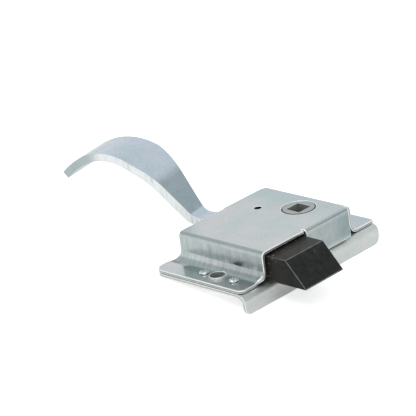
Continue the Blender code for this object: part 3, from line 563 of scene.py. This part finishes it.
machine(latch_bolt, draw_solid("wing", wing, 5.0 * mm, 13.2 * mm, from_above), "UNION")
channel_left = shank_middle - shank_width / 2 - channel_play
channel_front = shank_front - channel_play
channel = [(channel_left, channel_front), (20 * mm, channel_front), (20 * mm, 20 * mm),
           (channel_left, 20 * mm)]
machine(latch_bolt, draw_solid("channel", channel, channel_floor, 30 * mm, from_above))
slot_front, slot_rear = -16.75 * mm, -11.15 * mm
slot_plan = [(-0.4 * mm, slot_front), (20 * mm, slot_front), (20 * mm, slot_rear),
             (-0.4 * mm, slot_rear)]
machine(latch_bolt, draw_solid("slot", slot_plan, 0.0, 30 * mm, from_above))
shade_flat_faces(latch_bolt, 50)
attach(latch_bolt, "bolt")
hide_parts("latch_bolt")

# Pull handle
# Sheared steel strip, 3.8 mm thick, bent hot to a swan neck and flared to a grip, then plated. Its
# sheared sides are bright and hatched, and two countersunk rivets hold its shank in the bolt.
handle_thickness = 3.8 * mm
handle_top = 14.5 * mm
elbow = Vector((shank_middle, 27.4 * mm, 0.0))
skew = math.radians(12.0)
way = Vector((-math.sin(skew), math.cos(skew), 0.0))
across = Vector((math.cos(skew), math.sin(skew), 0.0))
flat_length = 4.6 * mm
grip_start = 34.0 * mm
grip_width = 24.6 * mm
tip_width = 19.0 * mm
bends = [(6.6 * mm, 51.6, 16.5 * mm), (-40.0 * mm, 20.8, 0.0), (-31.4 * mm, -27.5, 0.0),
         (-48.8 * mm, -44.6, 0.0)]
handle_line = [(step / 4 * flat_length, handle_top, 0.0) for step in range(5)]
for radius, end_degrees, straight in bends:
    along, height, slope = handle_line[-1]
    end = math.radians(end_degrees)
    steps = max(8, round(abs(end - slope) / math.radians(1.6)))
    for step in range(1, steps + 1):
        now = slope + (end - slope) * step / steps
        handle_line.append((along - radius * (math.sin(slope) - math.sin(now)),
                            height + radius * (math.cos(slope) - math.cos(now)), now))
    if straight:
        along, height, slope = handle_line[-1]
        handle_line += [(along + straight * part / 8 * math.cos(slope),
                         height + straight * part / 8 * math.sin(slope), slope) for part in range(1, 9)]
tip_along = handle_line[-1][0]


def grip_half(along):
    """Half of the strip's width: narrow neck, flare, then a slow taper to the tip."""
    flare = max(0.0, min(1.0, (along - flat_length) / (grip_start - flat_length)))
    eased = 0.65 * flare + 0.35 * flare * flare * (3 - 2 * flare)
    taper = max(0.0, min(1.0, (along - grip_start) / (tip_along - grip_start)))
    return (shank_width + (grip_width - shank_width) * eased + (tip_width - grip_width) * taper) / 2


strip = bmesh.new()
rows = []
shank_rows = [shank_front + (elbow.y - shank_front) * part / 6 for part in range(6)]
cross_steps = 8
for y in shank_rows:
    rows.append([(Vector((shank_middle + shank_width * (part / cross_steps - 0.5), y, handle_top)),
                  Vector((shank_middle + shank_width * (part / cross_steps - 0.5), y,
                          handle_top - handle_thickness))) for part in range(cross_steps + 1)])
for along, height, slope in handle_line:
    under_along = along + handle_thickness * math.sin(slope)
    under_height = height - handle_thickness * math.cos(slope)
    row = []
    for part in range(cross_steps + 1):
        aside = 2 * part / cross_steps - 1
        over = elbow + way * along + across * aside * grip_half(along) + Vector((0, 0, height))
        under = (elbow + way * under_along + across * aside * grip_half(under_along)
                 + Vector((0, 0, under_height)))
        row.append((over, under))
    rows.append(row)
grid = [[(strip.verts.new(over), strip.verts.new(under)) for over, under in row] for row in rows]
for first, second in zip(grid, grid[1:]):
    for part in range(cross_steps):
        strip.faces.new((first[part][0], first[part + 1][0], second[part + 1][0], second[part][0]))
        strip.faces.new((first[part][1], second[part][1], second[part + 1][1], first[part + 1][1]))
    for part, order in ((0, 1), (cross_steps, -1)):
        side_face = [first[part][0], second[part][0], second[part][1], first[part][1]][::order]
        strip.faces.new(side_face).material_index = 1
for row, order in ((grid[0], 1), (grid[-1], -1)):
    for part in range(cross_steps):
        end_face = [row[part][0], row[part][1], row[part + 1][1], row[part + 1][0]][::order]
        strip.faces.new(end_face).material_index = 1
pull_handle = finish_shape("bent_handle", strip)


def hatched_side(name):
    """The sheared side of the strip: white and hatched across, darker and plain at the tip."""
    material = zinc_plate(name, (0.88, 0.89, 0.89), (1.0, 1.0, 1.0), 0.42, 0.03, 0.01)
    tree = material.node_tree
    shader = tree.nodes["Principled BSDF"]
    plain = shader.inputs["Base Color"].links[0].from_socket
    place = add_node(tree, "ShaderNodeTexCoord").outputs["Object"]
    turned = stretch(tree, place, (0.2, 1.0, 0.12), (math.radians(24), 0, 0))
    marks = remap(tree, noise(tree, turned, 900.0, 3.0, 0.6), 0.54, 0.68)
    hatched = blend_colours(tree, "MIX", marks, plain, (0.62, 0.66, 0.66, 1))
    parts = add_node(tree, "ShaderNodeSeparateXYZ")
    tree.links.new(place, parts.inputs["Vector"])
    tip = remap(tree, parts.outputs["Y"], 73 * mm, 84 * mm, interpolation="SMOOTHSTEP")
    tree.links.new(blend_colours(tree, "MIX", tip, hatched, (0.46, 0.53, 0.53, 1)),
                   shader.inputs["Base Color"])
    return material


handle_zinc = zinc_plate("handle_zinc", (0.495, 0.58, 0.63), (1.0, 1.0, 1.0), 0.2, 0.02, 0.12)
handle_side = hatched_side("handle_side")
# The dark burr finish is partly painted shade on the strip's downward edges.
handle_burr_and_shade = sheared_edge("handle_burr_and_shade", (0.30, 0.27, 0.25), 0.5)
for finish in (handle_zinc, handle_side, handle_burr_and_shade):
    pull_handle.data.materials.append(finish)
for rivet_y in handle_rivet_rows:
    sink = [(0.0, 18 * mm), (3.3 * mm, 18 * mm), (3.3 * mm, handle_top), (2.1 * mm, 13.1 * mm),
            (2.1 * mm, 0.0), (0.0, 0.0)]
    machine(pull_handle, turn_solid("countersink", sink, (rivet_x, rivet_y, 0.0), steps=32))
break_edges(pull_handle, 0.4 * mm, 3, 2, 50)
# Only the downward bevels keep the dark burr finish: partly the real burr, partly painted shade on the
# underside.
for face in pull_handle.data.polygons:
    if face.material_index == 2 and face.normal.z > -0.1:
        face.material_index = 0
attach(pull_handle, "bolt")
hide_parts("pull_handle")

# Spindle hub
# Turned steel, 15 mm across where it shows, with a broached 8 mm square hole and a collar under
# the cover that holds it in. Plated, and level with the cover's top.
hub_zinc = zinc_plate("hub_zinc", (0.37, 0.39, 0.385), (1.0, 1.0, 1.0), 0.26, 0.03, 0.1)
# Painted highlight: the hub's rounded corners take this finish, lighter than its plated faces.
hub_corner_highlight = sheared_edge("hub_corner_highlight", (0.75, 0.76, 0.76), 0.3)
hub_bore = sheared_edge("hub_bore", (0.24, 0.25, 0.235), 0.6)
hub_bore.node_tree.nodes["Principled BSDF"].inputs["Metallic"].default_value = 0.35
hub_top = 16.7 * mm
hub_bottom = 0.3 * mm
collar_top = 14.9 * mm
collar_bottom = 4.9 * mm
boss_radius = 7.5 * mm
collar_radius = 8.4 * mm
journal_radius = 6.6 * mm
square_half = 4 * mm
flat_half = 5.9 * mm
hub_profile = [(0.0, hub_top), (boss_radius, hub_top), (boss_radius, collar_top),
               (collar_radius, collar_top), (collar_radius, collar_bottom),
               (journal_radius, collar_bottom), (journal_radius, hub_bottom), (0.0, hub_bottom)]
spindle_hub = turn_solid("square_hub", hub_profile, (hub_x, hub_y, 0.0), steps=96)
square = [(-square_half, -square_half), (square_half, -square_half),
          (square_half, square_half), (-square_half, square_half)]
machine(spindle_hub, draw_solid("broach", square, -9 * mm, 30 * mm, from_above, (hub_x, hub_y, 0.0)))
for side in (-1, 1):
    low, high = sorted((side * flat_half, side * 14.3 * mm))
    flat = [(-9 * mm, low), (9 * mm, low), (9 * mm, high), (-9 * mm, high)]
    machine(spindle_hub,
            draw_solid("hub_flat", flat, -9 * mm, collar_bottom, from_above, (hub_x, hub_y, 0.0)))
coat(spindle_hub, hub_zinc, hub_corner_highlight, hub_bore, bore_grease_and_shade("hub_grease_and_shade"))
mark_bore(spindle_hub, hub_x, hub_y, 5.7 * mm, 2)
break_edges(spindle_hub, 0.25 * mm, 3, 1)
# The hub's collar and journal under the cover take the near-black grease finish, partly painted shade where
# the cover hides them.
for face in spindle_hub.data.polygons:
    if math.hypot(face.center.x - hub_x, face.center.y - hub_y) > 7.2 * mm:
        face.material_index = 3
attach(spindle_hub, "hub")
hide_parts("spindle_hub")

# Cover
# One pressing in 1.5 mm steel: a hat section with swept feet, a tab folded down at the front and
# one at the back, and a pierced hole for the hub. Its rounded cut edges are painted near white:
# partly the bright sheared steel, partly painted highlight along them.
cover_front = -25.3 * mm
cover_back = 25.6 * mm
front_tab_face = -25.85 * mm
wall_left = -30.6 * mm
wall_right = 28.6 * mm
cover_top = 16.7 * mm
foot_bend = 6.5 * mm
flange_set_back = 2.0 * mm
gauge_x = 7.1 * mm
gauge_y = 11.9 * mm
tab_left = -2.3 * mm
tab_right = 26.0 * mm
past_top = 24 * mm
past_front = -40 * mm
hat = folded_section([(-plate_half_length - beyond, flange_top, 0.0), (wall_left, flange_top, foot_bend),
                      (wall_left, cover_top, 2.3 * mm), (wall_right, cover_top, 2.3 * mm),
                      (wall_right, flange_top, foot_bend), (plate_half_length + beyond, flange_top, 0.0)],
                     plate_thickness)
cover = draw_solid("pressed_cover", hat, -plate_back - beyond, beyond - cover_front, from_front)
left_x = wall_left - 0.05 * mm
right_x = wall_right + 0.05 * mm
flange_front = cover_front + flange_set_back
cover_plan = round_corners([(-plate_half_length, flange_front, 3 * mm),
                            (left_x - flange_set_back, flange_front, 0.0),
                            (left_x, cover_front, 0.0), (right_x, cover_front, 0.0),
                            (right_x + flange_set_back, flange_front, 0.0),
                            (lip_half_length, flange_front, 1.5 * mm),
                            (lip_half_length, plate_back, 5 * mm), (-plate_half_length, plate_back, 5 * mm)])
machine(cover, draw_solid("cover_blank", cover_plan, -beyond, past_top, from_above), "INTERSECT")
flare = plate_back + beyond - cover_back
back_step = [(left_x, cover_back), (right_x, cover_back), (right_x + flare, cover_back + flare),
             (left_x - flare, cover_back + flare)]
machine(cover, draw_solid("back_step", back_step, -beyond, past_top, from_above))
step_right = wall_right + flange_set_back
step_back = cover_front + 0.8 * mm
front_step = [(tab_right, past_front), (step_right, past_front), (step_right, step_back),
              (tab_right, step_back)]
machine(cover, draw_solid("front_step", front_step, -beyond, past_top, from_above))
hub_hole_radius = 7.8 * mm
hub_hole = [(0.0, past_top), (hub_hole_radius, past_top), (hub_hole_radius, 12 * mm), (0.0, 12 * mm)]
machine(cover, turn_solid("hub_hole", hub_hole, (hub_x, hub_y, 0.0), steps=96))
drill(cover, gauge_x, gauge_y, 1.7 * mm)
for side in (-1, 1):
    drill(cover, side * fixing_x, fixing_y, 3.8 * mm)
    for row in rivet_rows:
        drill(cover, side * fixing_x, row, rivet_hole_radius)
tab_bend = 1.9 * mm
tab_foot = 2.4 * mm
for toward, face_y, left_end, right_end in ((-1, front_tab_face, tab_left, tab_right),
                                            (1, cover_back + 1.8 * mm, -0.3 * mm, 25.6 * mm)):
    sheet_end = cover_front if toward < 0 else cover_back
    root = min(toward * sheet_end, toward * face_y - tab_bend) * toward
    low, high = sorted((root, toward * 40 * mm))
    trim = [(left_end, low), (right_end, low), (right_end, high), (left_end, high)]
    machine(cover, draw_solid("tab_trim", trim, 12 * mm, past_top, from_above))
    tab = [(face_y, tab_foot, 0.0), (face_y, cover_top, tab_bend), (root - toward * 3 * mm, cover_top, 0.0)]
    tab_section = folded_section(tab[::-1] if toward > 0 else tab, plate_thickness)
    machine(cover, draw_solid("tab", tab_section, left_end, right_end, from_side), "UNION")
relief_back = -23.6 * mm
for low, high in ((-3.1 * mm, tab_left), (tab_right, 26.7 * mm)):
    relief = [(low, past_front), (high, past_front), (high, relief_back), (low, relief_back)]
    machine(cover, draw_solid("relief", relief, 12 * mm, past_top, from_above))
cover_zinc = zinc_plate("cover_zinc", (0.53, 0.57, 0.56), (0.2, 3.0, 0.2), 0.17, 0.07, 0.11)


def add_draw_marks(material, low, high):
    """Marks that the press left across the walls, a painted reflection that darkens them towards the front,
    a bluer right end, and dull specks from handling.
    """
    tree = material.node_tree
    shader = tree.nodes["Principled BSDF"]
    plain = shader.inputs["Base Color"].links[0].from_socket
    place = add_node(tree, "ShaderNodeTexCoord").outputs["Object"]
    drawn = stretch(tree, place, (0.06, 1.0, 0.06))
    light = remap(tree, noise(tree, drawn, 700.0, 4.0, 0.7), 0.3, 0.7, 0.8, 1.2)
    parts = add_node(tree, "ShaderNodeSeparateXYZ")
    tree.links.new(place, parts.inputs["Vector"])
    wall = remap(tree, parts.outputs["Z"], high, low, interpolation="SMOOTHSTEP")
    above_flange = remap(tree, parts.outputs["Z"], flange_top + 0.2 * mm, flange_top + 1.5 * mm,
                         interpolation="SMOOTHSTEP")
    # Painted reflection: the walls and tabs grow darker towards the front, standing in for the dark things
    # they mirror there.
    painted_wall_reflection = remap(tree, parts.outputs["Y"], -15 * mm, 30 * mm, 0.78, 1.1)
    streaked = blend_colours(tree, "MULTIPLY", times(tree, wall, above_flange), plain,
                             times(tree, light, painted_wall_reflection))
    right_end = remap(tree, parts.outputs["X"], 0.0, 30 * mm, interpolation="SMOOTHSTEP")
    bluer = blend_colours(tree, "MULTIPLY", right_end, streaked, (0.81, 0.9, 0.94, 1))
    dull = remap(tree, noise(tree, place, 330.0, 3.0, 0.65), 0.67, 0.76, 0.0, 0.55)
    tree.links.new(blend_colours(tree, "MIX", dull, bluer, (0.30, 0.31, 0.28, 1)),
                   shader.inputs["Base Color"])


add_draw_marks(cover_zinc, 13.5 * mm, 16.0 * mm)
cover_cut = sheared_edge("cover_cut", (0.42, 0.42, 0.41), 0.45)
# Painted highlight: the cover's rounded edges take this near-white finish, far lighter than its plated
# faces.
cover_edge_highlight = sheared_edge("cover_edge_highlight", (0.94, 0.95, 0.95), 0.5)
cover_bores = bore_grease_and_shade("cover_bores")
coat(cover, cover_zinc, cover_cut, cover_edge_highlight, cover_bores)
mark_cut_edges(cover, plate_thickness)
break_edges(cover, 0.4 * mm, 3, 2, 50, clamp=False, through=(-fixing_x, gauge_x, hub_x, fixing_x))
# The gauge hole and the hub hole take the grease finish, partly painted shade on their walls.
mark_bore(cover, gauge_x, gauge_y, 2.0 * mm, hole_finish)
mark_bore(cover, hub_x, hub_y, 8.0 * mm, hole_finish)
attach(cover, "case")
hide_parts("cover")

# Cover rivets
# Four short steel rivets hold the cover's flanges on the base plate. Their heads are peened over
# by hand, so they are a little lumpy and catch the light.
rivet_zinc = zinc_plate("rivet_zinc", (0.84, 0.86, 0.85), (4.0, 4.0, 4.0), 0.22, 0.5, 0.05)
rivet_profile = [(0.0, 4.3 * mm), (0.6 * mm, 4.34 * mm), (1.1 * mm, 4.4 * mm), (1.6 * mm, 4.34 * mm),
                 (1.95 * mm, 4.15 * mm), (2.15 * mm, 3.95 * mm), (2.2 * mm, 3.6 * mm),
                 (1.5 * mm, 3.6 * mm), (1.5 * mm, 0.0), (0.0, 0.0)]
lump_height = 0.09 * mm
for side, side_name in ((-1, "left"), (1, "right")):
    for row, end_name in zip(rivet_rows, ("front", "rear")):
        rivet = turn_solid("peened_rivet_" + side_name + "_" + end_name, rivet_profile,
                           (side * fixing_x, row, 0.0), steps=40)
        for vertex in rivet.data.vertices:
            sideways, endways = vertex.co.x - side * fixing_x, vertex.co.y - row
            if vertex.co.z > 4.1 * mm and math.hypot(sideways, endways) > 0.5 * mm:
                turn = math.atan2(endways, sideways) + side + row / mm
                vertex.co.z += lump_height * (math.sin(3 * turn) + math.sin(5 * turn + 1.3)) - 0.06 * mm
        coat(rivet, rivet_zinc)
        rivet.data.shade_smooth()
        rivet.data.set_sharp_from_angle(angle=math.radians(50))
        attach(rivet, "case")
        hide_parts("cover_rivet_" + side_name + "_" + end_name)

# Table top and light
# The latch lies on a white table on its lip and the back edge of its plate. A pale sweep stands
# behind it, the room in front is dimmer, and a wide soft lamp hangs over it.
table_top = bpy.data.materials.new("table_white")
table_top.use_nodes = True
tree = table_top.node_tree
shader = tree.nodes["Principled BSDF"]
shader.inputs["Base Color"].default_value = (0.86, 0.86, 0.86, 1)
shader.inputs["Roughness"].default_value = 0.9
shader.inputs["Specular IOR Level"].default_value = 0.0
shader.inputs["Emission Color"].default_value = (1, 1, 1, 1)
path = add_node(tree, "ShaderNodeLightPath")
seen_level = add_node(tree, "ShaderNodeMath", operation="MULTIPLY")
seen_level.inputs[1].default_value = 0.6
tree.links.new(path.outputs["Is Camera Ray"], seen_level.inputs[0])
mirrored_level = add_node(tree, "ShaderNodeMath", operation="MULTIPLY_ADD")
mirrored_level.inputs[1].default_value = 0.12
tree.links.new(path.outputs["Is Glossy Ray"], mirrored_level.inputs[0])
tree.links.new(seen_level.outputs[0], mirrored_level.inputs[2])
tree.links.new(mirrored_level.outputs[0], shader.inputs["Emission Strength"])
table_mesh = bpy.data.meshes.new("table_top")
table_mesh.from_pydata([(-3, -3, 0), (3, -3, 0), (3, 3, 0), (-3, 3, 0)], [], [(0, 1, 2, 3)])
table_object = add_object("table_top", table_mesh)
table_mesh.materials.append(table_top)
tilt = math.atan2(-lip_bottom, plate_back - lip_face)
table_object.rotation_euler = (tilt, 0, 0)
table_object.location = (0, plate_back, -0.05 * mm)

world = bpy.data.worlds.new("pale_sweep")
bpy.context.scene.world = world
world.use_nodes = True
tree = world.node_tree
tree.nodes.clear()
direction = add_node(tree, "ShaderNodeTexCoord").outputs["Generated"]


def patch_of_room(azimuth, elevation, inner, outer):
    """How far a direction lies inside a round patch of the room, from 0 outside to 1 inside."""
    azimuth, elevation = math.radians(azimuth), math.radians(elevation)
    toward = add_node(tree, "ShaderNodeVectorMath", operation="DOT_PRODUCT")
    toward.inputs[1].default_value = (math.cos(azimuth) * math.cos(elevation),
                                      math.sin(azimuth) * math.cos(elevation), math.sin(elevation))
    tree.links.new(direction, toward.inputs[0])
    return remap(tree, toward.outputs["Value"], math.cos(math.radians(outer)),
                 math.cos(math.radians(inner)), interpolation="SMOOTHSTEP")


room = (0.96, 0.97, 0.98, 1)
for place_in_room, shade in (((120.0, 75.0, 41.0, 53.0), (0.58, 0.65, 0.635, 1)),
                             ((-34.0, 27.0, 15.0, 20.0), (0.48, 0.54, 0.515, 1)),
                             ((-8.0, 59.0, 9.0, 15.0), (0.55, 0.6, 0.6, 1))):
    room = blend_colours(tree, "MIX", patch_of_room(*place_in_room), room, shade)
path = add_node(tree, "ShaderNodeLightPath")
backdrop = blend_colours(tree, "MIX", path.outputs["Is Camera Ray"], room, (1.0, 1.0, 1.0, 1))
background = add_node(tree, "ShaderNodeBackground")
tree.links.new(backdrop, background.inputs["Color"])
output = add_node(tree, "ShaderNodeOutputWorld")
tree.links.new(background.outputs["Background"], output.inputs["Surface"])

lamp_data = bpy.data.lights.new("soft_lamp", "AREA")
lamp_data.shape = "DISK"
lamp_data.size = 0.7
lamp_data.energy = 3.0
lamp = add_object("soft_lamp", lamp_data)
lamp.location = (-0.45, -0.15, 0.95)
lamp.rotation_euler = (-lamp.location).to_track_quat("-Z", "Y").to_euler()

# Camera
# Long lens, a little over a metre away, above the latch's front left corner and rolled slightly.
camera_data = bpy.data.cameras.new("long_lens")
sensor_width = 36.0
picture_width = 416
focal_length_in_pixels = 2409.76
camera_data.sensor_width = sensor_width
camera_data.lens = sensor_width * focal_length_in_pixels / picture_width
camera = add_object("long_lens", camera_data)
bpy.context.scene.camera = camera
azimuth = math.radians(-43.17)
elevation = math.radians(21.73)
roll = math.radians(-7.85)
back = Vector((math.sin(azimuth) * math.cos(elevation), -math.cos(azimuth) * math.cos(elevation),
               math.sin(elevation)))
right = Vector((math.cos(azimuth), math.sin(azimuth), 0.0))
up = back.cross(right)
frame_right = math.cos(roll) * right + math.sin(roll) * up
frame_up = -math.sin(roll) * right + math.cos(roll) * up
distance_in_mm = 1079.8
place = back * distance_in_mm + frame_right * -28.24 + frame_up * 20.49 + Vector((0, 0, -0.83))
facing = Matrix((frame_right, frame_up, back)).transposed().to_4x4()
camera.matrix_world = Matrix.Translation(place * mm) @ facing
camera_data.clip_start = 0.05
camera_data.clip_end = 20.0
bpy.context.scene.view_settings.view_transform = "Standard"
